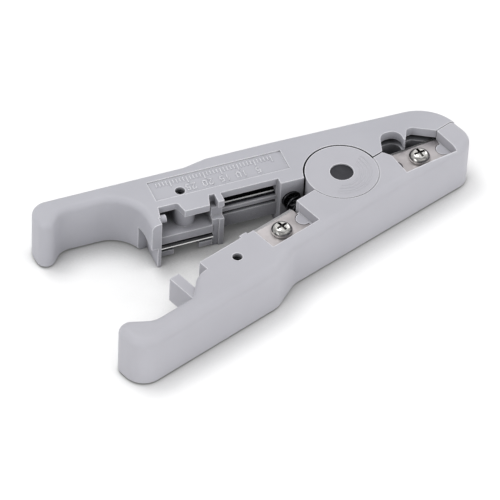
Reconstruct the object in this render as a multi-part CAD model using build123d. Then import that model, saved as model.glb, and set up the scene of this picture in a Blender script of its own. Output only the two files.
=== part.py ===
from build123d import *
import math
import os

# Network cable stripper and cutter: two moulded arms on a pivot, a spring between them,
# two screwed razor blades, three slotted strip blades and two depth screws.
# Frame: millimetres, X along the rear arm towards the jaws, Y out of the rear arm's back,
# Z up. The origin is the pivot axis on the plane that the tool lies on.
# Each arm is drawn in its own frame, with the pivot at the origin, and then turned.

# Overall sizes
body_height = 16.5
open_angle = 19.7
handle_half_width = 17.1
rear_head_half_width = 18.5
front_head_half_width = 13.9
rear_handle_reach = 86.5
front_handle_reach = 87.0
nose_reach = 39.3
nose_radius = 13.2
front_nose_radius = 5.6
rear_edge_round = 2.0
front_edge_round = 2.6
bottom_edge_bevel = 0.8
step_round = 7.0
taper_round = 40.0
rear_step_start = -40.7
rear_step_end = -33.8
rear_taper_start = -15.0
front_step_start = -37.8
front_step_end = -28.5
front_step_half_width = 13.2

# Pivot
lug_radius = 10.35
lug_gap = 0.5
ring_groove_width = 0.3
ring_groove_depth = 0.15
lap_height = 8.1
lap_gap = 0.3
pin_head_radius = 3.26
pin_head_height = 3.0
pin_recess = 0.5
pin_radius = 2.6
running_clearance = 0.05
retainer_radius = 5.0
retainer_thickness = 1.6

# Plates and bays of the rear arm, measured down from the top face
top_plate = 2.3
bay_floor_top = 8.2
blade_slot_top = 10.9
blade_slot_bottom = 13.8
flat_blade_drop = 12.0
flat_blade_proud = 0.3
flat_slot_depth = 4.0
bay_back = 12.8
wall_left = -57.2
wall_right = -54.3
wall_front = -2.9
fin_thickness = 1.0
wall_underside_back = 7.7
wall_underside_front = 9.3
rebate_back = 5.4
rebate_left = -60.0
wall_flare = 1.2
bay_edge = -0.2
notch_back = 3.6
notch_right = -47.5
notch_slope = 0.9
notch_round = 1.0
foot_left = -49.5
foot_right = -42.0
foot_depth = 6.2
foot_lift = 1.0
boss_front = 4.9
post_notch_left = -39.3
post_notch_right = -36.6
post_left = -38.2
post_right = -34.8
post_front = 0.2
post_waist_front = 1.6
post_waist_bottom = 6.5
post_strip_width = 1.5
post_strip_depth = 0.4
bay_front = 3.4
bay_right = -18.0
cutter_slot_bottom = 6.4
cutter_slot_depth = 5.0
counter_blade_drop = 5.5
groove_top = 7.7
groove_bottom = 9.0
groove_depth = 1.2
groove_inset = 0.6
counter_blade_edge = 4.0
bar_bottom = 13.6
under_bar_depth = 6.5
under_bar_round = 2.2
block_left = -17.7
rear_block_front = 1.25
label_left = -52.7
label_right = -13.1
label_front = 6.2
label_back = 13.7
label_depth = 0.4

# Finger grips
rear_grip_thickness = 5.8
rear_grip_corner = 10.0
hook_root_round = 5.0
hook_root = 8.0
hook_lean = 0.9
hook_depth = 8.0
hook_tip_round = 2.6
hook_shoulder = 5.9
hook_shoulder_round = 4.8
front_grip_thickness = 7.2
front_grip_start = 10.4
front_grip_end = -62.8
front_grip_round = 4.0
front_tip_depth = 4.3
front_tip_width = 4.4
front_tip_round = 3.0
front_end_round = 6.0

# Front arm
front_inner_y = -1.9
front_corner_x = -53.7
front_notch_y = -5.2
front_notch_x = -57.6
front_block_left = -17.3
lap_edge_reach = 9.0
front_lap_edge = -1.1
rear_lap_edge = 2.3
front_block_inner = -0.6
catch_tab_x = -60.5
catch_tab_thickness = 3.2
catch_tab_tip = 0.6
catch_tab_top = 3.0
catch_tab_height = 8.3
nib_left = -38.7
nib_right = -36.3
nib_height = 3.0
front_slot_left = -52.0
front_slot_right = -36.8

# Blades
blade_length = 15.8
blade_edge_reach = 5.6
blade_back_reach = 3.8
blade_thickness = 0.6
blade_bevel = 1.3
blade_notch_radius = 2.3
blade_drop = 3.5
seat_overhang = 2.6
blade_slack = 0.15
cutter_wall_gap = 0.2
slit_width = 0.4
slit_length = 2.7
slit_depth = 6.0
slit_beyond = 0.7
blade_end_gap = 1.4
cutter_screw_x = -26.1
cutter_screw_y = -4.6
round_screw_x = 23.1
round_screw_y = -7.0
round_blade_angle = -11.5
cutter_recess_back = -10.1
cutter_recess_right = -17.4
jaw_corner_slope = 1.2
jaw_corner_round = 0.4
jaw_wall_top = (15.2, -3.9, 0.0)
jaw_wall_foot = (14.0, -11.5, 0.0)
jaw_recess_end = (31.3, -13.2, 0.0)
strip_blade_thickness = 0.5
strip_blade_width = 7.0
strip_blade_bevel = 0.9
strip_fit = 0.2

# Screws
screw_radius = 1.45
screw_head_radius = 2.95
screw_head_height = 2.2
screw_length = 9.0
screw_point = 0.7
screw_end_gap = 0.5
cross_length = 3.4
cross_width = 0.75
cross_depth = 0.9
thread_gap = 0.03
depth_screw_radius = 1.4
depth_screw_length = 5.0
depth_screw_sunk = 1.6
hex_socket_radius = 0.85
hex_socket_depth = 1.4
boss_radius = 3.1
rear_hole_x = -44.9
rear_hole_y = 8.2
front_hole_x = -44.3
front_hole_y = -6.8

# Return spring
spring_x = -14.4
spring_drop = 7.0
spring_coil_radius = 2.2
spring_wire_radius = 0.42
spring_turns = 6.5
spring_facets = 6
spring_seat_depth = 4.6
spring_pocket_radius = 2.8
seat_gap = 0.2

# Cable window in the head, in the rear arm's frame
window_corner_x = 13.8
window_corner_y = 4.0
round_notch_left = 15.7
round_notch_right = 21.3
round_notch_back = 10.5
round_notch_radius = 2.75
cusp_y = 5.2
v_notch_left = 23.6
v_notch_back = 10.1
v_notch_flat = 1.6
v_notch_slope = 0.3
v_notch_round = 0.6
window_round = 0.3
v_notch_right_x = 31.4
v_notch_right_y = 6.7
seam_nose_y = 2.3
seam_gap = 0.2
head_slot_top = 2.8
head_slot_height = 2.0
head_slot_back = 13.5
head_slot_inset = 1.5

# Stub on the wall beside the flat cable bay
stub_radius = 1.1
stub_length = 2.4
stub_y = 0.9
stub_drop = 2.0

cut_over = 1.0


def turned(x, y, angle):
    """Return a point turned about the pivot by an angle in degrees."""
    a = math.radians(angle)
    return (x * math.cos(a) - y * math.sin(a), x * math.sin(a) + y * math.cos(a))


def corner_arc(before, corner, after):
    """Return where a rounded corner starts, its middle and where it ends."""
    here = Vector(corner[0], corner[1])
    back = (Vector(before[0], before[1]) - here).normalized()
    ahead = (Vector(after[0], after[1]) - here).normalized()
    half = back.get_angle(ahead) / 2
    reach = corner[2] / math.tan(math.radians(half))
    middle = (back + ahead).normalized()
    to_arc = corner[2] / math.sin(math.radians(half)) - corner[2]
    return here + back * reach, here + middle * to_arc, here + ahead * reach


def closed_face(corners):
    """Make a face from corners given as (x, y, rounding radius)."""
    count = len(corners)
    arcs = []
    for i, corner in enumerate(corners):
        arcs.append(corner_arc(corners[i - 1], corner, corners[(i + 1) % count]))
    edges = []
    for i, (start, middle, end) in enumerate(arcs):
        if corners[i][2] > 0:
            edges.append(ThreePointArc(start, middle, end))
        following = arcs[(i + 1) % count][0]
        if (following - end).length > 0.001:
            edges.append(Line(end, following))
    return make_face(edges)


def prism(corners, low, high):
    """Extrude a closed outline between two heights."""
    return Pos(0, 0, low) * extrude(closed_face(corners), high - low)


def block(x0, x1, y0, y1, z0, z1):
    """Make a box from its limits."""
    centre = Pos((x0 + x1) / 2, (y0 + y1) / 2, (z0 + z1) / 2)
    return centre * Box(x1 - x0, y1 - y0, z1 - z0)


def post(x, y, radius, z0, z1):
    """Make an upright cylinder from its limits."""
    return Pos(x, y, (z0 + z1) / 2) * Cylinder(radius, z1 - z0)


def nose_circle(side):
    """Return the centre of the nose circle in the rear arm's frame (1) or the front arm's (-1)."""
    return turned(nose_reach - nose_radius, 0, side * open_angle / 2)


def seam_end(side, gap):
    """Return where the seam between the jaws meets the nose, and the direction out to it."""
    rise = seam_nose_y + gap
    lean = math.degrees(math.asin(rise / nose_radius))
    centre = nose_circle(side)
    out = turned(1, 0, side * open_angle / 2 + lean)
    return (centre[0] + nose_radius * out[0], centre[1] + nose_radius * out[1]), out


def rear_nose_corner():
    """Return the corner whose rounding runs from the rear head's edge to the seam."""
    centre = nose_circle(1)
    out = seam_end(1, seam_gap)[1]
    start_x = rear_taper_start - centre[0]
    start_y = rear_head_half_width - centre[1]
    far = math.hypot(start_x, start_y)
    touch = math.atan2(start_y, start_x) - math.acos(nose_radius / far)
    seam = math.atan2(out[1], out[0])
    middle = (touch + seam) / 2
    reach = nose_radius / math.cos((touch - seam) / 2)
    return (centre[0] + reach * math.cos(middle), centre[1] + reach * math.sin(middle))


def front_nose_corner():
    """Return where the front head's edge meets the line that touches the nose at the seam."""
    point, out = seam_end(-1, 0)
    fall = point[1] + front_head_half_width
    return (point[0] + fall * out[1] / out[0], -front_head_half_width)


def edges_at(solid, height, keep):
    """Return the edges that lie at one height and that the keep test picks."""
    return [e for e in solid.edges() if keep(e) and flat_at(e, height)]


def flat_at(edge, height):
    """Tell whether an edge lies at one height."""
    box = edge.bounding_box()
    return abs(box.min.Z - height) < 0.001 and abs(box.max.Z - height) < 0.001


def rear_outline():
    """Outline of the rear arm's full-height body in its own frame."""
    end = -rear_handle_reach
    nose = rear_nose_corner()
    seam = seam_end(1, seam_gap)[0]
    shoulder = handle_half_width - hook_shoulder
    grip_y = handle_half_width - rear_grip_thickness
    return [
        (end, handle_half_width, hook_shoulder_round),
        (rear_step_start, handle_half_width, step_round),
        (rear_step_end, rear_head_half_width, step_round),
        (rear_taper_start, rear_head_half_width, taper_round),
        (nose[0], nose[1], nose_radius),
        (seam[0], seam[1], 0.0),
        (v_notch_right_x, v_notch_right_y, 0.0),
        (v_notch_left + v_notch_flat, v_notch_back, v_notch_round),
        (v_notch_left, v_notch_back - v_notch_slope, v_notch_round),
        (round_notch_right, cusp_y, window_round),
        (round_notch_right, round_notch_back, round_notch_radius),
        (round_notch_left, round_notch_back, round_notch_radius),
        (window_corner_x, window_corner_y, window_round),
        (lap_edge_reach, rear_lap_edge, 0.0),
        (-lap_edge_reach, rear_block_front, 0.0),
        (block_left, rear_block_front, 0.0),
        (block_left, bay_front, 0.0),
        (post_right, bay_front, 0.0),
        (post_right, post_front, 0.0),
        (post_left, post_front, 0.0),
        (post_left, bay_edge, 0.0),
        (wall_right, bay_edge, 0.0),
        (wall_right, wall_front, 0.0),
        (wall_left, wall_front, 0.0),
        (wall_left, grip_y, rear_grip_corner),
        (end + hook_root, grip_y, hook_root_round),
        (end + hook_lean, grip_y - hook_depth, hook_tip_round),
        (end, shoulder, hook_shoulder_round),
    ]


def outer_rear_edge(edge):
    """Pick the rear arm's back, nose and finger hook edges."""
    centre = edge @ 0.5
    hook = centre.X < wall_left - cut_over
    nose = centre.X > v_notch_right_x + 1.0 and centre.Y > seam_end(1, seam_gap)[0][1]
    back = centre.Y > handle_half_width - 1.0
    return hook or back or nose


def bay_boss():
    """Round-fronted boss that hangs from the top plate round the set screw."""
    boss = post(rear_hole_x, rear_hole_y, boss_radius, 0, body_height)
    boss += post(rear_hole_x, boss_front, boss_radius, 0, body_height)
    boss += block(rear_hole_x - boss_radius, rear_hole_x + boss_radius, boss_front, rear_hole_y,
                  0, body_height)
    return boss


def rear_bays():
    """Everything cut from the inner side of the rear arm's handle."""
    top = body_height
    plate = top - top_plate
    front = wall_front - cut_over
    bay = block(wall_right, post_left, front, bay_back, top - bay_floor_top, plate)
    bay -= bay_boss()
    slot = block(wall_right, post_left + strip_fit, front, flat_slot_depth,
                 top - blade_slot_bottom, top - blade_slot_top)
    slot += flat_blade_place(strip_blade_width + blade_slack, blade_slack)
    left_notch = prism(
        [
            (wall_right, front, 0.0),
            (wall_right, wall_front, 0.0),
            (wall_right + wall_flare, notch_back, 0.0),
            (notch_right, notch_back, notch_round),
            (notch_right + notch_slope, bay_edge, 0.0),
            (notch_right + notch_slope, front, 0.0),
        ],
        plate - cut_over, top + cut_over)
    right_notch = prism(
        [
            (post_notch_left, front, 0.0),
            (post_notch_left, bay_edge, 0.0),
            (post_left, notch_back, 0.0),
            (post_notch_right, notch_back, 0.0),
            (post_notch_right, front, 0.0),
        ],
        plate - cut_over, top + cut_over)
    between_feet = block(foot_left, foot_right, front, foot_depth, -cut_over,
                         top - blade_slot_bottom)
    under_feet = block(wall_right, post_left, front, foot_depth, -cut_over, foot_lift)
    waist = block(post_left - cut_over, post_right, front, post_waist_front,
                  top - post_waist_bottom, plate)
    rebate = extrude(Plane.YZ * make_face(Polyline(
        (front, -cut_over),
        (rebate_back, -cut_over),
        (rebate_back, top - wall_underside_back),
        (wall_front, top - wall_underside_front),
        (front, top - wall_underside_front),
        close=True)), wall_right - fin_thickness - rebate_left)
    rebate = Pos(rebate_left, 0, 0) * rebate
    return bay + slot + left_notch + right_notch + between_feet + under_feet + waist + rebate


def flat_blade_place(depth, slack):
    """Room of the rear arm's strip blade, from its edge to a depth, with slack round it."""
    low = body_height - flat_blade_drop - strip_blade_thickness
    edge = bay_edge - flat_blade_proud
    return block(wall_right + strip_fit - slack, post_left + strip_fit + slack, edge,
                 edge + depth, low, low + strip_blade_thickness)


def cutter_bay():
    """Slot, groove and open underside of the bay that the cutter blade closes on."""
    top = body_height
    front = bay_front - cut_over
    left = post_right + strip_fit
    blade_low = top - counter_blade_drop - strip_blade_thickness
    slot = block(left, bay_right, front, bay_front + cutter_slot_depth,
                 top - cutter_slot_bottom, top - top_plate)
    slot += block(left, bay_right, front, counter_blade_edge + strip_blade_width + blade_slack,
                  blade_low, blade_low + strip_blade_thickness)
    groove = block(left + groove_inset, bay_right, front, bay_front + groove_depth,
                   top - groove_bottom, top - groove_top)
    under = Pos(0, bay_front + under_bar_depth, 0) * Rot(90, 0, 0) * extrude(
        closed_face([
            (left + groove_inset, -cut_over, 0.0),
            (left + groove_inset, top - bar_bottom, under_bar_round),
            (bay_right, top - bar_bottom, 0.0),
            (bay_right, -cut_over, 0.0),
        ]), under_bar_depth + cut_over)
    return slot + groove + under


def bend_angle(y):
    """Return the angle about the pivot, in degrees, at which the spring's line is at y."""
    return math.degrees(math.atan2(y, -spring_x))


def spring_pocket(mouth, side):
    """Pocket, bent about the pivot, for one end of the spring. Side is 1 for the rear arm."""
    outer = bend_angle(mouth - side * cut_over)
    seat = bend_angle(mouth + side * spring_seat_depth)
    section = Plane.XZ * Pos(spring_x, body_height - spring_drop) * Circle(spring_pocket_radius)
    ring = revolve(section, Axis.Z, revolution_arc=abs(seat - outer))
    return Rot(0, 0, -max(seat, outer)) * ring


def rear_arm():
    """Rear arm: finger hook, bays, spring seat, lower pivot lug and notched jaw."""
    top = body_height
    arm = prism(rear_outline(), 0, top)
    arm = fillet(edges_at(arm, top, outer_rear_edge), rear_edge_round)
    arm = chamfer(edges_at(arm, 0, outer_rear_edge), bottom_edge_bevel)
    arm -= rear_bays()
    arm -= cutter_bay()
    arm += block(post_right - post_strip_width, post_right, post_front - post_strip_depth,
                 post_front, 0, top - post_waist_bottom)
    arm += Pos(wall_right + stub_length / 2, stub_y, top - stub_drop) * Rot(0, 90, 0) * Cylinder(
        stub_radius, stub_length)
    arm -= post(0, 0, lug_radius + lug_gap, lap_height, top + cut_over)
    arm += post(0, 0, lug_radius, 0, lap_height)
    arm -= post(0, 0, pin_radius + running_clearance, -cut_over, lap_height + cut_over)
    arm -= post(0, 0, retainer_radius + running_clearance, -cut_over, retainer_thickness)
    arm -= spring_pocket(rear_block_front, 1)
    arm -= post(rear_hole_x, rear_hole_y, depth_screw_radius + thread_gap,
                top - bay_floor_top, top + cut_over)
    arm -= block(label_left, label_right, label_front, label_back, top - label_depth,
                 top + cut_over)
    arm -= head_slot()
    return arm


def head_slot():
    """Slot in the rear jaw that the round cable blade enters."""
    high = body_height - head_slot_top
    return block(window_corner_x + head_slot_inset, v_notch_right_x + head_slot_inset,
                 window_corner_y, head_slot_back, high - head_slot_height, high)


def front_outline():
    """Outline of the front arm's full-height body in its own frame."""
    end = -front_handle_reach
    nose = front_nose_corner()
    seam = seam_end(-1, 0)[0]
    corner = window_end()
    lap_edge = front_lap_edge - seam_gap
    grip_y = front_grip_thickness - handle_half_width
    tip_y = grip_y + front_tip_depth
    return [
        (end, -handle_half_width, front_end_round),
        (end, tip_y, front_tip_round),
        (end + front_tip_width, tip_y, front_tip_round),
        (end + front_grip_start, grip_y, front_end_round),
        (front_grip_end, grip_y, front_grip_round),
        (front_notch_x, front_notch_y, 0.0),
        (front_corner_x, front_notch_y, 0.0),
        (front_corner_x, front_inner_y, 0.0),
        (front_block_left, front_inner_y, 0.0),
        (front_block_left, front_block_inner, 0.0),
        (-lap_edge_reach, front_block_inner, 0.0),
        (lap_edge_reach, lap_edge, 0.0),
        (jaw_wall_top[0] - jaw_corner_slope, lap_edge, jaw_corner_round),
        (jaw_wall_top[0], jaw_wall_top[1], 0.0),
        (corner[0], corner[1] - seam_gap, 0.0),
        (seam[0], seam[1], 0.0),
        (nose[0], nose[1], front_nose_radius),
        (front_step_end, -front_step_half_width, step_round),
        (front_step_start, -handle_half_width, step_round),
    ]


def window_end():
    """Return the nose end of the cable window in the front arm's frame."""
    return turned(v_notch_right_x, v_notch_right_y, -open_angle)


def outer_front_edge(edge):
    """Pick the front arm's back, nose and handle end edges."""
    centre = edge @ 0.5
    grip = centre.X < front_notch_x
    back = centre.Y < 1.0 - front_step_half_width
    nose = centre.X > window_end()[0] + 1.0 and centre.Y < window_end()[1] - 1.0
    return grip or back or nose


def blade_pocket():
    """Pocket that a screwed blade lies in, with the peg that fills its notch."""
    top = body_height - blade_drop
    half = blade_length / 2
    pocket = block(-half - blade_slack, half + blade_slack, -blade_back_reach - blade_slack,
                   2 * blade_edge_reach, top - blade_thickness, top)
    return pocket - post(half, 0, blade_notch_radius - blade_slack, 0, body_height)


def cutter_recess():
    """Recess in the front arm's edge that holds the cutter blade."""
    top = body_height
    left = cutter_screw_x - blade_length / 2 - cutter_wall_gap
    recess = block(left, cutter_recess_right, cutter_recess_back, cut_over, top - blade_drop,
                   top + cut_over)
    return recess + cutter_blade_place() * blade_pocket()


def cutter_blade_place():
    """Place of the cutter blade in the front arm's frame."""
    return Pos(cutter_screw_x, cutter_screw_y, 0)


def round_blade_place():
    """Place of the round cable blade in the front arm's frame."""
    return Pos(round_screw_x, round_screw_y, 0) * Rot(0, 0, round_blade_angle)


def jaw_recess():
    """Recess in the front jaw that holds the round cable blade."""
    top = body_height
    seat = top - blade_drop - blade_thickness
    corner = window_end()
    half = blade_length / 2
    inner = [
        (corner[0], corner[1] - seam_gap, 0.0),
        (corner[0], corner[1] + 3 * cut_over, 0.0),
        (jaw_wall_top[0], 3 * cut_over, 0.0),
    ]
    recess = prism([jaw_wall_top, jaw_wall_foot, jaw_recess_end] + inner,
                   top - blade_drop, top + cut_over)
    pocket = round_blade_place() * blade_pocket()
    slit_start = -blade_back_reach - slit_beyond
    slit = round_blade_place() * block(-half - slit_width, -half, slit_start,
                                       slit_start + slit_length, seat - slit_depth,
                                       top - blade_drop)
    beyond_seat = round_blade_place() * block(
        -blade_length, half + blade_end_gap, blade_edge_reach - seat_overhang,
        2 * blade_edge_reach, -cut_over, top + cut_over)
    open_side = beyond_seat & prism([jaw_wall_top] + inner, -cut_over, top + cut_over)
    return recess + pocket + slit + open_side


def front_slot():
    """Slot on the inner side of the front arm's handle for its strip blade."""
    top = body_height
    back = front_inner_y - strip_blade_width - 2 * blade_slack
    return block(front_slot_left, front_slot_right, back, front_inner_y + cut_over,
                 top - blade_slot_bottom, top - blade_slot_top)


def catch_tab():
    """Flat tab that passes in front of the rear arm's wall."""
    top = body_height - catch_tab_top
    half = catch_tab_thickness / 2
    root = front_grip_thickness - handle_half_width - cut_over
    return block(catch_tab_x - half, catch_tab_x + half, root, catch_tab_tip,
                 top - catch_tab_height, top)


def front_arm():
    """Front arm: blunt grip, catch tab, blade recesses, upper pivot lug and front jaw."""
    top = body_height
    lug_bottom = lap_height + lap_gap
    arm = prism(front_outline(), 0, top)
    arm = fillet(edges_at(arm, top, outer_front_edge), front_edge_round)
    arm = chamfer(edges_at(arm, 0, outer_front_edge), bottom_edge_bevel)
    arm += catch_tab()
    arm += block(nib_left, nib_right, front_inner_y - cut_over, front_lap_edge, top - nib_height,
                 top)
    arm -= cutter_recess()
    arm -= jaw_recess()
    arm -= front_slot()
    arm -= post(0, 0, lug_radius + lug_gap, -cut_over, lug_bottom)
    arm += post(0, 0, lug_radius, lug_bottom, top)
    groove = post(0, 0, lug_radius + ring_groove_width, top - ring_groove_depth,
                  top + cut_over)
    groove -= post(0, 0, lug_radius, 0, top + cut_over)
    arm -= groove
    arm -= post(0, 0, pin_radius + running_clearance, 0, top + cut_over)
    arm -= post(0, 0, pin_head_radius + running_clearance,
                top - pin_recess - pin_head_height - lap_gap / 2, top + cut_over)
    arm -= spring_pocket(front_block_inner, -1)
    arm -= post(front_hole_x, front_hole_y, depth_screw_radius + thread_gap,
                top - bay_floor_top, top + cut_over)
    for hole in (cutter_blade_place(), round_blade_place()):
        arm -= hole * post(0, 0, screw_radius, screw_bottom() - screw_end_gap, top)
    return arm


def screw_bottom():
    """Height of the tips of the blade screws."""
    return body_height - blade_drop - screw_length


def screwed_blade():
    """Razor plate with a bevelled edge, a notch in each end and a screw hole."""
    half_l = blade_length / 2
    high = body_height - blade_drop
    low = high - blade_thickness
    profile = Plane.YZ * make_face(Polyline(
        (-blade_back_reach, low),
        (blade_edge_reach, low),
        (blade_edge_reach - blade_bevel, high),
        (-blade_back_reach, high),
        close=True))
    plate = Pos(-half_l, 0, 0) * extrude(profile, blade_length)
    for end in (-half_l, half_l):
        plate -= post(end, 0, blade_notch_radius, 0, body_height)
    plate -= post(0, 0, screw_radius + blade_slack, 0, body_height)
    return plate


def blade_screw():
    """Pan head screw, standing on the blade's top face."""
    z = body_height - blade_drop
    r = screw_head_radius
    h = screw_head_height
    shank = screw_radius - thread_gap
    tip = z - screw_length
    side = z + 0.45 * h
    with BuildSketch(Plane.XZ) as section:
        with BuildLine():
            Polyline((0, z + h), (0, tip), (shank - screw_point, tip), (shank, tip + screw_point),
                     (shank, z), (r, z), (r, side))
            ThreePointArc((r, side), (0.72 * r, z + 0.88 * h), (0, z + h))
        make_face()
    screw = revolve(section.sketch, Axis.Z)
    for angle in (0, 90):
        cross = Rot(0, 0, angle) * Box(cross_length, cross_width, 2 * cross_depth)
        screw -= Pos(0, 0, z + h) * cross
    return screw


def depth_screw(x, y):
    """Set screw with a hex socket, sunk in its boss."""
    high = body_height - depth_screw_sunk
    screw = post(x, y, depth_screw_radius, high - depth_screw_length, high)
    socket = Pos(x, y, high - hex_socket_depth) * extrude(
        RegularPolygon(hex_socket_radius, 6), hex_socket_depth + cut_over)
    return screw - socket


def strip_blade(x0, x1, edge, side, low):
    """Slotted strip blade with a bevelled cutting edge. Side is 1 where the edge faces -Y."""
    high = low + strip_blade_thickness
    back = edge + side * strip_blade_width
    profile = Plane.YZ * make_face(Polyline(
        (edge, low),
        (back, low),
        (back, high),
        (edge + side * strip_blade_bevel, high),
        close=True))
    return Pos(x0, 0, 0) * extrude(profile, x1 - x0)


def pivot_pin():
    """Shouldered pin that holds both lugs."""
    top = body_height - pin_recess
    return post(0, 0, pin_head_radius, top - pin_head_height, top) + post(
        0, 0, pin_radius, 0, top - pin_head_height)


def pivot_retainer():
    """Push-on ring that holds the pin from below."""
    return post(0, 0, retainer_radius, 0, retainer_thickness) - post(
        0, 0, pin_radius, -cut_over, body_height)


def return_spring():
    """Coil spring bent round the pivot from one arm's pocket to the other's."""
    rear_end = bend_angle(rear_block_front + spring_seat_depth)
    front_end = bend_angle(front_block_inner - spring_seat_depth) - open_angle
    inset = math.degrees((spring_wire_radius + seat_gap) / -spring_x)
    steps = int(spring_turns * 10)
    points = []
    for step in range(steps + 1):
        share = step / steps
        bend = rear_end - inset + (front_end + 2 * inset - rear_end) * share
        turn = 2 * math.pi * spring_turns * share
        out = spring_coil_radius * math.cos(turn) - spring_x
        x, y = turned(-out, 0, -bend)
        z = body_height - spring_drop + spring_coil_radius * math.sin(turn)
        points.append((x, y, z))
    path = Spline(*points)
    section = Plane(origin=path @ 0, z_dir=path % 0) * RegularPolygon(
        spring_wire_radius, spring_facets)
    return sweep(section, path=path)


def main():
    """Build every piece and write one STEP file for each."""
    os.makedirs("parts", exist_ok=True)
    turn = Rot(0, 0, open_angle)
    top = body_height
    slot_floor = top - blade_slot_bottom
    cutter_place = cutter_blade_place()
    pieces = {
        "rear_arm": rear_arm(),
        "front_arm": turn * front_arm(),
        "pivot_pin": pivot_pin(),
        "pivot_retainer": pivot_retainer(),
        "return_spring": return_spring(),
        "cutter_blade": turn * cutter_place * screwed_blade(),
        "cutter_blade_screw": turn * cutter_place * blade_screw(),
        "round_cable_blade": turn * round_blade_place() * screwed_blade(),
        "round_blade_screw": turn * round_blade_place() * blade_screw(),
        "rear_flat_blade": strip_blade(wall_right + strip_fit, post_left + strip_fit,
                                       bay_edge - flat_blade_proud, 1,
                                       top - flat_blade_drop - strip_blade_thickness),
        "cutter_counter_blade": strip_blade(post_right + 2 * strip_fit, bay_right - strip_fit,
                                            counter_blade_edge, 1,
                                            top - counter_blade_drop - strip_blade_thickness),
        "front_flat_blade": turn * strip_blade(front_slot_left + strip_fit,
                                               front_slot_right - strip_fit,
                                               front_inner_y - blade_slack, -1, slot_floor),
        "rear_depth_screw": depth_screw(rear_hole_x, rear_hole_y),
        "front_depth_screw": turn * depth_screw(front_hole_x, front_hole_y),
    }
    for name, shape in pieces.items():
        export_step(shape, f"parts/{name}.step")


main()
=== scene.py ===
import bpy
import math
from mathutils import Matrix, Vector


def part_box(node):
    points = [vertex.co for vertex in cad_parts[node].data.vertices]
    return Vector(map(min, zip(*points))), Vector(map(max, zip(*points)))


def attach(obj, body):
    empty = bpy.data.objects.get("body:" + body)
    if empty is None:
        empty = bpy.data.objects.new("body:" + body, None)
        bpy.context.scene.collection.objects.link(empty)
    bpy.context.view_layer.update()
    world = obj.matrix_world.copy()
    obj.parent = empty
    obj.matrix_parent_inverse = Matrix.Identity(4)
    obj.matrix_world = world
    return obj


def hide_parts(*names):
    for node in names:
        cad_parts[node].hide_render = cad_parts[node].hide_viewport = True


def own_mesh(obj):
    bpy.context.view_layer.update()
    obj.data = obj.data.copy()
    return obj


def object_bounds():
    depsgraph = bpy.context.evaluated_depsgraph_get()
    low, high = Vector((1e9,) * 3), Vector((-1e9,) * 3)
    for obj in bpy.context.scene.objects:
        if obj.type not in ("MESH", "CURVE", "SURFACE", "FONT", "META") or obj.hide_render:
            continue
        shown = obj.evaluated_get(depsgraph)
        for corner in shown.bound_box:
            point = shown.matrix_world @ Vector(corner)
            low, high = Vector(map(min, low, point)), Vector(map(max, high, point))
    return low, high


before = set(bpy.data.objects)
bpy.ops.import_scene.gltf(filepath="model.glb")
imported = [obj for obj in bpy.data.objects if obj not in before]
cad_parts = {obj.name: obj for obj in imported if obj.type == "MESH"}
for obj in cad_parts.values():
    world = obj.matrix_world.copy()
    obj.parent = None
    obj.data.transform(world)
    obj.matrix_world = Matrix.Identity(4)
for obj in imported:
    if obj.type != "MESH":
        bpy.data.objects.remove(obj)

CAD_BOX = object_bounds()

# Lengths are in millimetres, apart from those of the lights, which are in metres
MM = 0.001
TOP = CAD_BOX[1].z / MM


# Node graphs

ROUND_SAMPLES = 6
HOLLOW_SAMPLES = 8


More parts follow.
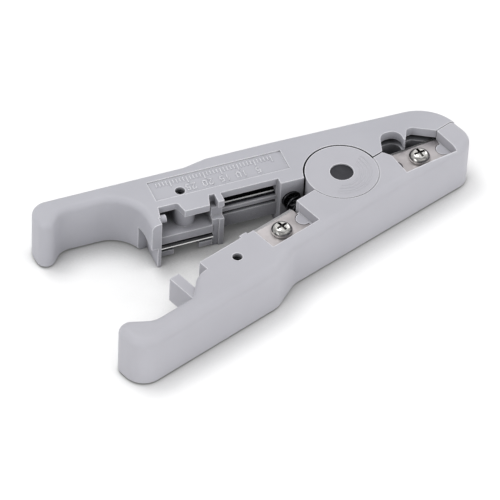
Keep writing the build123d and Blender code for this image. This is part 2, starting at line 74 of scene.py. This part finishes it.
class Graph:
    """Short ways to add and join the nodes of one material or world."""

    def __init__(self, tree):
        self.nodes = tree.nodes
        self.links = tree.links

    def fill(self, node, values):
        """Set or link a node's inputs, each given by its name or number."""
        for name, value in values.items():
            if isinstance(value, bpy.types.NodeSocket):
                self.links.new(value, node.inputs[name])
            else:
                node.inputs[name].default_value = value
        return node

    def add(self, kind, values):
        return self.fill(self.nodes.new(kind), values)

    def place(self):
        """Place on the object, in metres."""
        return self.add("ShaderNodeTexCoord", {}).outputs["Object"]

    def facing(self):
        """Normal of the surface, before any rounding or bump."""
        return self.add("ShaderNodeNewGeometry", {}).outputs["Normal"]

    def split(self, vector):
        """X, Y and Z of a vector."""
        return self.add("ShaderNodeSeparateXYZ", {"Vector": vector}).outputs

    def calculate(self, operation, first, second=0.0):
        node = self.nodes.new("ShaderNodeMath")
        node.operation = operation
        return self.fill(node, {0: first, 1: second}).outputs["Value"]

    def within(self, value, low, high):
        """Factor that is 1 where a value lies between two bounds, else 0."""
        return self.calculate("MULTIPLY", self.calculate("GREATER_THAN", value, low),
                              self.calculate("LESS_THAN", value, high))

    def mix(self, blend, factor, first, second):
        node = self.nodes.new("ShaderNodeMix")
        node.data_type = "RGBA"
        node.blend_type = blend
        return self.fill(node, {"Factor": factor, "A": first, "B": second}).outputs["Result"]

    def noise(self, scale, detail, rough=0.5, stretch=(1, 1, 1)):
        mapping = self.add("ShaderNodeMapping", {"Vector": self.place(), "Scale": stretch})
        return self.add("ShaderNodeTexNoise", {
            "Vector": mapping.outputs["Vector"], "Scale": scale, "Detail": detail,
            "Roughness": rough}).outputs["Fac"]

    def ramp(self, source, low, high, start=0.3, end=0.7):
        """Colour that goes from low to high as the source goes from start to end."""
        node = self.add("ShaderNodeValToRGB", {"Fac": source})
        for element, position, colour in zip(node.color_ramp.elements, (start, end), (low, high)):
            element.position = position
            element.color = (*colour, 1)
        return node.outputs["Color"]

    def spread(self, source, low, high):
        """Number that goes from low to high as the source goes from 0 to 1."""
        return self.add("ShaderNodeMapRange", {
            "Value": source, "To Min": low, "To Max": high}).outputs["Result"]

    def smooth_step(self, source, start, end, low, high):
        """Number that eases from low to high as the source goes from start to end."""
        node = self.nodes.new("ShaderNodeMapRange")
        node.interpolation_type = "SMOOTHSTEP"
        return self.fill(node, {
            "Value": source, "From Min": start, "From Max": end,
            "To Min": low, "To Max": high}).outputs["Result"]

    def bump(self, source, strength, depth, normal=None):
        """Normal that follows the source as a relief of that depth, laid over a given normal."""
        node = self.add("ShaderNodeBump", {
            "Height": source, "Strength": strength, "Distance": depth * MM})
        if normal is not None:
            self.fill(node, {"Normal": normal})
        return node.outputs["Normal"]

    def rounded(self, radius):
        """Normal that is rounded over the sharp edges."""
        node = self.add("ShaderNodeBevel", {"Radius": radius * MM})
        node.samples = ROUND_SAMPLES
        return node.outputs["Normal"]

    def darkened(self, tone, reach, closed, open_sky, dark):
        """Tone with painted shade: it falls to its dark share where surfaces within reach close a
        point in.
        """
        node = self.add("ShaderNodeAmbientOcclusion", {"Distance": reach * MM})
        node.samples = HOLLOW_SAMPLES
        shade = self.smooth_step(node.outputs["AO"], closed, open_sky, dark, 1.0)
        return self.mix("MULTIPLY", 1.0, tone, shade)


class Finish(Graph):
    """A material, with its shader."""

    def __init__(self, name):
        self.material = bpy.data.materials.new(name)
        self.material.use_nodes = True
        super().__init__(self.material.node_tree)
        self.shader = self.nodes["Principled BSDF"]

    def done(self, values):
        """Fill the shader's inputs and give the material."""
        self.fill(self.shader, values)
        return self.material


# Painted shade in hollows, slots and at contacts: reach, share of sky seen where the tone is
# darkest and where it is full, dark share

WIDE_HOLLOW_SHADE = dict(reach=25.0, closed=0.08, open_sky=0.42, dark=0.4)
DEEP_HOLLOW_SHADE = dict(reach=6.0, closed=0.05, open_sky=0.36, dark=0.3)
CONTACT_SHADE = dict(reach=1.2, closed=0.3, open_sky=0.82, dark=0.5)
STEEL_CONTACT_SHADE = dict(reach=1.2, closed=0.3, open_sky=0.85, dark=0.35)
SCREW_RECESS_SHADE = dict(reach=1.0, closed=0.3, open_sky=0.85, dark=0.03)
FLOOR_PAINTED_SHADOW = dict(reach=28.0, closed=0.1, open_sky=0.8, dark=0.3)


# Moulded plastic

PLASTIC_CLOUD = dict(scale=55.0, detail=4.0)
PLASTIC_GRAIN = dict(scale=2600.0, detail=2.0)
CLOUD_RELIEF = dict(strength=0.12, depth=0.6)
GRAIN_RELIEF = dict(strength=0.22, depth=0.06)
PLASTIC_ROUGHNESS = (0.42, 0.56)
PLASTIC_SPECULAR = 0.28
EDGE_ROUND = 0.3

# Painted highlight along the edges: how far it reaches, and the cosine between the surface and
# its rounded normal where the painted highlight is full and where it ends
EDGE_HIGHLIGHT_REACH = 0.55
FULL_HIGHLIGHT_COSINE = 0.9
NO_HIGHLIGHT_COSINE = 0.998
EDGE_HIGHLIGHT_LOW = (0.7, 0.7, 0.735)
EDGE_HIGHLIGHT_HIGH = (0.82, 0.82, 0.855)

# Shallow arcs round the pivot, which is the origin
RING_STEP = 1.1
RING_INNER = 4.9
RING_OUTER = 8.6
RING_SIDE = 3.0
RING_RELIEF = dict(strength=0.9, depth=0.09)


def rubbed_edges(finish):
    """Factor that is 1 along the edges, where a highlight is painted, else 0."""
    node = finish.nodes.new("ShaderNodeVectorMath")
    node.operation = "DOT_PRODUCT"
    finish.fill(node, {0: finish.rounded(EDGE_HIGHLIGHT_REACH), 1: finish.facing()})
    return finish.smooth_step(node.outputs["Value"], FULL_HIGHLIGHT_COSINE, NO_HIGHLIGHT_COSINE, 1.0, 0.0)


def disc_rings(finish):
    """Height of the moulded arcs on the pivot disc's lower right."""
    place = finish.split(finish.place())
    x, y = place["X"], place["Y"]
    square = finish.calculate("ADD", finish.calculate("MULTIPLY", x, x),
                              finish.calculate("MULTIPLY", y, y))
    radius = finish.calculate("SQRT", square)
    turn = finish.calculate("MULTIPLY", radius, 2 * math.pi / (RING_STEP * MM))
    band = finish.within(radius, RING_INNER * MM, RING_OUTER * MM)
    side = finish.calculate("GREATER_THAN", finish.calculate("SUBTRACT", x, y), RING_SIDE * MM)
    return finish.calculate("MULTIPLY", finish.calculate("SINE", turn),
                            finish.calculate("MULTIPLY", band, side))


def plastic(name, low, high, rings=False, contact_shade=True):
    """Moulded plastic: fine spark-eroded grain, faint mottling, a painted highlight along the
    edges and painted shade in slots, hollows and at contacts.
    """
    finish = Finish(name)
    cloud = finish.noise(**PLASTIC_CLOUD)
    # Painted highlight along the edges, in lighter tones
    tone = finish.mix("MIX", rubbed_edges(finish), finish.ramp(cloud, low, high),
                      finish.ramp(cloud, EDGE_HIGHLIGHT_LOW, EDGE_HIGHLIGHT_HIGH))
    # Painted shade in the slots and hollows
    tone = finish.darkened(finish.darkened(tone, **WIDE_HOLLOW_SHADE), **DEEP_HOLLOW_SHADE)
    # Painted shade along the lines where the plastic meets the floor and other parts
    if contact_shade:
        tone = finish.darkened(tone, **CONTACT_SHADE)
    normal = finish.bump(cloud, normal=finish.rounded(EDGE_ROUND), **CLOUD_RELIEF)
    if rings:
        normal = finish.bump(disc_rings(finish), normal=normal, **RING_RELIEF)
    grain = finish.noise(**PLASTIC_GRAIN)
    return finish.done({
        "Base Color": tone,
        "Roughness": finish.spread(cloud, *PLASTIC_ROUGHNESS),
        "Specular IOR Level": PLASTIC_SPECULAR,
        "Normal": finish.bump(grain, normal=normal, **GRAIN_RELIEF)})


# Metals

METAL_LINES = dict(scale=900.0, detail=4.0, rough=0.6)
LINE_RELIEF = dict(strength=0.2, depth=0.02)
GRIND_WAY = (1.0, 8.0, 1.0)
STEEL_CLOUD = dict(scale=160.0, detail=4.0)
STEEL_CLOUD_SPAN = (0.35, 0.65)
OXIDE_CLOUD = dict(scale=600.0, detail=5.0)
OXIDE_RELIEF = dict(strength=0.2, depth=0.03)
POLISH_WAY = (1.0, 1.0, 4.0)
SCREW_ROUND = 0.12
SCREW_ROUGHNESS = (0.12, 0.24)

# Upward share of the normal: on a blade's ground bevel, which carries a painted highlight, and
# where the painted dark reflection on a screw's rolled shoulder fades into its crown and into its
# side
GROUND_SLOPE = (0.3, 0.97)
DARK_REFLECTION_CROWN = (0.8, 0.94)
DARK_REFLECTION_SIDE = (0.1, 0.45)


def edge_strip(blade, start, end):
    """Reach in metres along Y of a narrow strip on a blade, measured from its front edge, that
    carries a painted highlight.
    """
    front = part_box(blade)[0].y
    return front + start * MM, front + end * MM


def steel(name, low, high, roughness, highlight_low, highlight_high, strip=None):
    """Ground steel: fine lines one way, painted shade near other parts, and a painted highlight
    on a bright strip or, without one, on the bright bevels.
    """
    finish = Finish(name)
    lines = finish.noise(stretch=GRIND_WAY, **METAL_LINES)
    tone = finish.ramp(finish.noise(**STEEL_CLOUD), low, high, *STEEL_CLOUD_SPAN)
    # Painted shade where the steel meets other parts
    tone = finish.darkened(tone, **STEEL_CONTACT_SHADE)
    # Painted highlight on the bright strip or the ground bevels
    if strip is None:
        bright = finish.within(finish.split(finish.facing())["Z"], *GROUND_SLOPE)
    else:
        bright = finish.within(finish.split(finish.place())["Y"], *strip)
    return finish.done({
        "Base Color": finish.mix("MIX", bright, tone, finish.ramp(lines, highlight_low, highlight_high)),
        "Roughness": finish.spread(lines, *roughness),
        "Metallic": 1.0,
        "Normal": finish.bump(lines, **LINE_RELIEF)})


def plated_screw(name, low, high, dark_reflection):
    """Bright plated screw: polish lines, a painted dark reflection on the rolled shoulder and
    painted shade in the cross recess.
    """
    finish = Finish(name)
    lines = finish.noise(stretch=POLISH_WAY, **METAL_LINES)
    soft = finish.rounded(SCREW_ROUND)
    upward = finish.split(soft)["Z"]
    # Painted dark reflection on the rolled shoulder
    dark_reflection_mask = finish.calculate("MULTIPLY",
                              finish.smooth_step(upward, *DARK_REFLECTION_CROWN, 1.0, 0.0),
                              finish.smooth_step(upward, *DARK_REFLECTION_SIDE, 0.0, 1.0))
    tone = finish.mix("MIX", dark_reflection_mask, finish.ramp(lines, low, high),
                      finish.ramp(lines, dark_reflection, low))
    return finish.done({
        # Painted shade in the cross recess and where the screw meets other parts
        "Base Color": finish.darkened(tone, **SCREW_RECESS_SHADE),
        "Roughness": finish.spread(lines, *SCREW_ROUGHNESS),
        "Metallic": 1.0,
        "Normal": finish.bump(lines, normal=soft, **LINE_RELIEF)})


def dark_metal(name, low, high, roughness, metallic):
    """Oxide-dark steel with slight cloudiness."""
    finish = Finish(name)
    cloud = finish.noise(**OXIDE_CLOUD)
    return finish.done({
        "Base Color": finish.ramp(cloud, low, high),
        "Roughness": finish.spread(cloud, *roughness),
        "Metallic": metallic,
        "Normal": finish.bump(cloud, **OXIDE_RELIEF)})


# Finishes of the solids

rear_plastic = plastic(
    "light_grey_plastic", low=(0.425, 0.425, 0.462), high=(0.455, 0.455, 0.492))
front_plastic = plastic(
    "light_grey_plastic_front", low=(0.435, 0.432, 0.468), high=(0.465, 0.462, 0.498),
    rings=True)
scale_plastic = plastic(
    "light_grey_plastic_scale", low=(0.44, 0.44, 0.475), high=(0.47, 0.47, 0.505),
    contact_shade=False)
blade_steel = steel(
    "blade_steel", low=(0.35, 0.328, 0.332), high=(0.54, 0.51, 0.515), roughness=(0.3, 0.46),
    highlight_low=(0.9, 0.89, 0.89), highlight_high=(0.98, 0.97, 0.97))
# Nearly black body: painted shade of the slot it sits in; the bright strip is a painted highlight
# where its edge catches the light
strip_steel = steel(
    "strip_steel", low=(0.05, 0.05, 0.053), high=(0.09, 0.09, 0.094), roughness=(0.35, 0.5),
    highlight_low=(0.8, 0.8, 0.8), highlight_high=(0.92, 0.92, 0.91),
    strip=edge_strip("rear_flat_blade", start=-0.1, end=0.2))
# Nearly black body: painted shade of the slot it sits in; the bright strip is a painted highlight
# where its edge catches the light
counter_steel = steel(
    "counter_steel", low=(0.01, 0.01, 0.012), high=(0.025, 0.025, 0.028), roughness=(0.35, 0.5),
    highlight_low=(0.9, 0.9, 0.9), highlight_high=(0.92, 0.92, 0.91),
    strip=edge_strip("cutter_counter_blade", start=0.6, end=0.9))
screw_steel = plated_screw(
    "screw_steel", low=(0.5, 0.49, 0.47), high=(0.78, 0.77, 0.75), dark_reflection=(0.1, 0.1, 0.1))
pin_steel = dark_metal(
    "pin_steel", low=(0.02, 0.02, 0.025), high=(0.036, 0.036, 0.042), roughness=(0.42, 0.6),
    metallic=0.5)
spring_wire = dark_metal(
    "spring_wire", low=(0.012, 0.012, 0.013), high=(0.04, 0.04, 0.043), roughness=(0.12, 0.3),
    metallic=1.0)
socket_steel = dark_metal(
    "socket_steel", low=(0.02, 0.02, 0.024), high=(0.05, 0.05, 0.055), roughness=(0.37, 0.55),
    metallic=0.5)

NODE_MATERIALS = {
    "rear_arm": rear_plastic,
    "front_arm": front_plastic,
    "pivot_pin": pin_steel,
    "pivot_retainer": pin_steel,
    "return_spring": spring_wire,
    "cutter_blade": blade_steel,
    "cutter_blade_screw": screw_steel,
    "round_cable_blade": blade_steel,
    "round_blade_screw": screw_steel,
    "rear_flat_blade": strip_steel,
    "cutter_counter_blade": counter_steel,
    "front_flat_blade": strip_steel,
    "rear_depth_screw": socket_steel,
    "front_depth_screw": socket_steel,
}
for node_name, material in NODE_MATERIALS.items():
    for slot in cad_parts[node_name].material_slots:
        slot.material = material


def add_object(name, vertices, faces, material):
    """Mesh object from vertices in millimetres and faces, in one material."""
    mesh = bpy.data.meshes.new(name)
    mesh.from_pydata([Vector(vertex) * MM for vertex in vertices], [], faces)
    mesh.materials.append(material)
    made = bpy.data.objects.new(name, mesh)
    bpy.context.scene.collection.objects.link(made)
    return made


# Raised strip-length scale in the shallow panel of the rear arm

PANEL_DEPTH = 0.4
PANEL_FLOOR = TOP - PANEL_DEPTH
MARK_HEIGHT = 0.25
MARK_SINK = 0.03
MARK_WIDTH = 0.44
MARK_DRAFT = 0.1
# Least cosine at a mitre, so that a sharp corner doesn't reach far
MITRE_LIMIT = 0.5
SCALE_START = -16.5
SCALE_LINE = 12.7
SCALE_LENGTH = 34
SHORT_TICK = 1.4
LONG_TICK = 2.3
FIGURE_EVERY = 5
LAST_FIGURE = 25
FIGURE_LINE = 9.7
FIGURE_HEIGHT = 2.1
FIGURE_WIDTH = 1.1
FIGURE_STEP = 1.7
# Corners of each figure: share of its width from its middle, share of its height from its foot
FIGURES = {
    "0": [(-0.15, 0), (-0.5, 0.2), (-0.5, 0.8), (-0.15, 1), (0.15, 1), (0.5, 0.8), (0.5, 0.2),
          (0.15, 0), (-0.12, 0)],
    "1": [(-0.3, 0.7), (0, 1), (0, 0)],
    "2": [(-0.5, 0.75), (-0.3, 1), (0.3, 1), (0.5, 0.75), (-0.5, 0), (0.5, 0)],
    "5": [(0.45, 1), (-0.45, 1), (-0.45, 0.55), (0.2, 0.6), (0.5, 0.3), (0.2, 0), (-0.5, 0.05)],
}


def bar_outline(points, half_width):
    """Outline of a mitred bar along points: its left side, then its right side back."""
    runs = [(after - before).normalized() for before, after in zip(points, points[1:])]
    left, right = [], []
    for point, run_in, run_out in zip(points, runs[:1] + runs, runs + runs[-1:]):
        middle = (run_in + run_out).normalized()
        side = Vector((-middle.y, middle.x))
        square = Vector((-run_in.y, run_in.x))
        reach = half_width / max(side.dot(square), MITRE_LIMIT)
        left.append(point + side * reach)
        right.append(point - side * reach)
    return left + right[::-1]


def raised_bar(vertices, faces, points):
    """Moulded bar along points, narrower at its top than at its foot, with both ends closed."""
    foot = bar_outline(points, MARK_WIDTH / 2)
    crest = bar_outline(points, MARK_WIDTH / 2 - MARK_DRAFT)
    start = len(vertices)
    count = len(foot)
    vertices += [(*spot, PANEL_FLOOR - MARK_SINK) for spot in foot]
    vertices += [(*spot, PANEL_FLOOR + MARK_HEIGHT) for spot in crest]
    for index in range(count):
        following = (index + 1) % count
        faces.append((start + index, start + following, start + count + following,
                      start + count + index))
    for left in range(len(points) - 1):
        right = count - 1 - left
        corners = (left, right, right - 1, left + 1)
        faces.append(tuple(start + corner for corner in corners))
        faces.append(tuple(start + count + corner
                           for corner in (left, left + 1, right - 1, right)))


def make_strip_scale():
    """Ticks each millimetre and a number each 5 mm, read from the back of the tool."""
    vertices, faces = [], []
    for mark in range(SCALE_LENGTH + 1):
        x = SCALE_START - mark
        length = SHORT_TICK if mark % FIGURE_EVERY else LONG_TICK
        raised_bar(vertices, faces, [Vector((x, SCALE_LINE)), Vector((x, SCALE_LINE - length))])
    for value in range(FIGURE_EVERY, LAST_FIGURE + 1, FIGURE_EVERY):
        word = str(value)
        for place, figure in enumerate(word):
            middle = SCALE_START - value - (place - (len(word) - 1) / 2) * FIGURE_STEP
            raised_bar(vertices, faces, [
                Vector((middle - across * FIGURE_WIDTH, FIGURE_LINE - up * FIGURE_HEIGHT))
                for across, up in FIGURES[figure]])
    scale = add_object("strip_scale", vertices, faces, scale_plastic)
    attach(scale, "rear")


make_strip_scale()


# Return spring in round wire with close end turns

# Distance of the coil's middle line from the pivot, and its depth below the arms' top
SPRING_REACH = 14.4
SPRING_DROP = 7.0
SPRING_HEIGHT = TOP - SPRING_DROP
# Angles about the pivot, in degrees, at which the coil starts and ends
SPRING_REAR_END = 19.6
SPRING_FRONT_END = -37.0
SPRING_TURNS = 7.5
# Share of the spring's length that each of its two close end turns takes
CLOSE_TURN = 0.064
COIL_RADIUS = 2.3
WIRE_RADIUS = 0.44
WIRE_SIDES = 12
RINGS_PER_TURN = 28
# Part of a turn on each side over which the wire's direction is taken
WIRE_STEP = 0.01


def spring_bend(turn):
    """Angle about the pivot, in degrees, that the coil has reached after some turns."""
    if turn < 1:
        share = CLOSE_TURN * turn
    elif turn > SPRING_TURNS - 1:
        share = 1 - CLOSE_TURN * (SPRING_TURNS - turn)
    else:
        share = CLOSE_TURN + (1 - 2 * CLOSE_TURN) * (turn - 1) / (SPRING_TURNS - 2)
    return SPRING_REAR_END + (SPRING_FRONT_END - SPRING_REAR_END) * share


def spring_point(turn, coil):
    """Point on a coil of the given radius that is bent about the pivot."""
    bend = math.radians(spring_bend(turn))
    spin = 2 * math.pi * turn
    out = SPRING_REACH - coil * math.cos(spin)
    return Vector((-out * math.cos(bend), out * math.sin(bend),
                   SPRING_HEIGHT + coil * math.sin(spin)))


def wire_ring(turn):
    """Points round the wire where the coil has made some turns."""
    middle = spring_point(turn, COIL_RADIUS)
    ahead = spring_point(min(turn + WIRE_STEP, SPRING_TURNS), COIL_RADIUS)
    behind = spring_point(max(turn - WIRE_STEP, 0), COIL_RADIUS)
    along = (ahead - behind).normalized()
    outward = middle - spring_point(turn, 0)
    outward = (outward - along * outward.dot(along)).normalized()
    across = along.cross(outward)
    angles = [2 * math.pi * side / WIRE_SIDES for side in range(WIRE_SIDES)]
    return [middle + WIRE_RADIUS * (math.cos(angle) * outward + math.sin(angle) * across)
            for angle in angles]


def make_return_spring():
    """Tube of round wire along the bent coil, closed by flat ends."""
    rings = int(SPRING_TURNS * RINGS_PER_TURN)
    vertices, faces = [], []
    for ring in range(rings + 1):
        vertices += wire_ring(SPRING_TURNS * ring / rings)
    for ring in range(rings):
        low = ring * WIRE_SIDES
        for side in range(WIRE_SIDES):
            following = (side + 1) % WIRE_SIDES
            faces.append((low + side, low + following, low + WIRE_SIDES + following,
                          low + WIRE_SIDES + side))
    faces.append(tuple(reversed(range(WIRE_SIDES))))
    faces.append(tuple(range(rings * WIRE_SIDES, (rings + 1) * WIRE_SIDES)))
    spring = add_object("coil_spring", vertices, faces, spring_wire)
    for polygon in spring.data.polygons:
        polygon.use_smooth = len(polygon.vertices) == 4
    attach(spring, "rear")
    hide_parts("return_spring")
    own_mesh(spring)


make_return_spring()


# Camera at the photograph's viewing angle, aimed at a point in the plane of the arms' top

LENS = 330.37
SENSOR_WIDTH = 36.0
# Angles in degrees
CAMERA_AZIMUTH = -23.423
CAMERA_ELEVATION = 45.035
CAMERA_ROLL = 2.877
CAMERA_DISTANCE = 1250.1
CAMERA_TARGET = Vector((-35.25, -20.11, TOP))
CAMERA_CLIP = 20000.0


def make_camera():
    data = bpy.data.cameras.new("camera")
    data.lens = LENS
    data.sensor_width = SENSOR_WIDTH
    data.clip_end = CAMERA_CLIP * MM
    camera = bpy.data.objects.new("camera", data)
    bpy.context.scene.collection.objects.link(camera)
    turn = (Matrix.Rotation(math.radians(CAMERA_AZIMUTH), 4, "Z")
            @ Matrix.Rotation(math.radians(90 - CAMERA_ELEVATION), 4, "X")
            @ Matrix.Rotation(math.radians(CAMERA_ROLL), 4, "Z"))
    away = Matrix.Translation((0, 0, CAMERA_DISTANCE * MM))
    camera.matrix_world = Matrix.Translation(CAMERA_TARGET * MM) @ turn @ away
    bpy.context.scene.camera = camera


make_camera()


# Floor, lights and world

FLOOR_REACH = 3000.0
PAPER_FIBRE = dict(scale=40.0, detail=4.0)
PAPER_LOW = (0.95, 0.95, 0.95)
PAPER_HIGH = (0.97, 0.97, 0.97)
PAPER_ROUGHNESS = 0.9
PAPER_SPECULAR = 0.1
# Glow that keeps the paper white where it is looked at
FLOOR_LIFT = 0.05
WHITE = (1, 1, 1, 1)
# Point that the lights aim at, in metres
LIGHT_TARGET = Vector((-0.02, 0, 0))
# Each light's name, place in metres, width in metres and power in watts
LIGHTS = [
    ("key", (-0.25, 0.35, 1.0), 0.5, 3.9),
    ("front_fill", (0.6, -1.0, 0.35), 0.7, 4.5),
    ("left_fill", (-1.0, -0.4, 0.55), 0.6, 3.0),
    ("right_fill", (0.9, 0.5, 0.45), 0.5, 1.0),
]
# Upward share of a direction, and how bright the room is there
WORLD_BANDS = [
    (0.0, 0.7),
    (0.12, 0.68),
    (0.22, 0.35),
    (0.45, 0.38),
    (0.62, 0.68),
    (1.0, 0.76),
]


def looked_at(graph):
    """Factor that is 1 for what the camera, metal and glass see."""
    path = graph.add("ShaderNodeLightPath", {}).outputs
    seen = graph.calculate("MAXIMUM", path["Is Camera Ray"], path["Is Glossy Ray"])
    return graph.calculate("MAXIMUM", seen, path["Is Transmission Ray"])


def make_floor():
    """White paper sweep that keeps the object's soft shadow, made darker near the object by a
    painted shadow.
    """
    finish = Finish("white_paper")
    paper = finish.ramp(finish.noise(**PAPER_FIBRE), PAPER_LOW, PAPER_HIGH)
    material = finish.done({
        # Painted shadow: the paper darkens near the object
        "Base Color": finish.darkened(paper, **FLOOR_PAINTED_SHADOW),
        "Roughness": PAPER_ROUGHNESS,
        "Specular IOR Level": PAPER_SPECULAR,
        "Emission Color": WHITE,
        "Emission Strength": finish.calculate("MULTIPLY", looked_at(finish), FLOOR_LIFT)})
    corners = [(x * FLOOR_REACH, y * FLOOR_REACH, 0)
               for x, y in ((-1, -1), (1, -1), (1, 1), (-1, 1))]
    add_object("floor", corners, [(0, 1, 2, 3)], material)


def area_light(name, place, width, watts):
    data = bpy.data.lights.new(name, "AREA")
    data.shape = "DISK"
    data.size = width
    data.energy = watts
    lamp = bpy.data.objects.new(name, data)
    lamp.location = place
    lamp.rotation_euler = (LIGHT_TARGET - Vector(place)).to_track_quat("-Z", "Y").to_euler()
    bpy.context.scene.collection.objects.link(lamp)


def studio_world():
    """Soft room: bright overhead and low down, dimmer between; white where it is looked at."""
    world = bpy.data.worlds.new("studio")
    world.use_nodes = True
    graph = Graph(world.node_tree)
    direction = graph.add("ShaderNodeTexCoord", {}).outputs["Generated"]
    band = graph.add("ShaderNodeValToRGB", {"Fac": graph.split(direction)["Z"]})
    while len(band.color_ramp.elements) < len(WORLD_BANDS):
        band.color_ramp.elements.new(1.0)
    for element, (height, level) in zip(band.color_ramp.elements, WORLD_BANDS):
        element.position = height
        element.color = (level, level, level, 1)
    room = graph.mix("MIX", looked_at(graph), band.outputs["Color"], WHITE)
    graph.fill(graph.nodes["Background"], {"Color": room, "Strength": 1.0})
    bpy.context.scene.world = world


make_floor()
for light in LIGHTS:
    area_light(*light)
studio_world()
bpy.context.scene.view_settings.view_transform = "Standard"
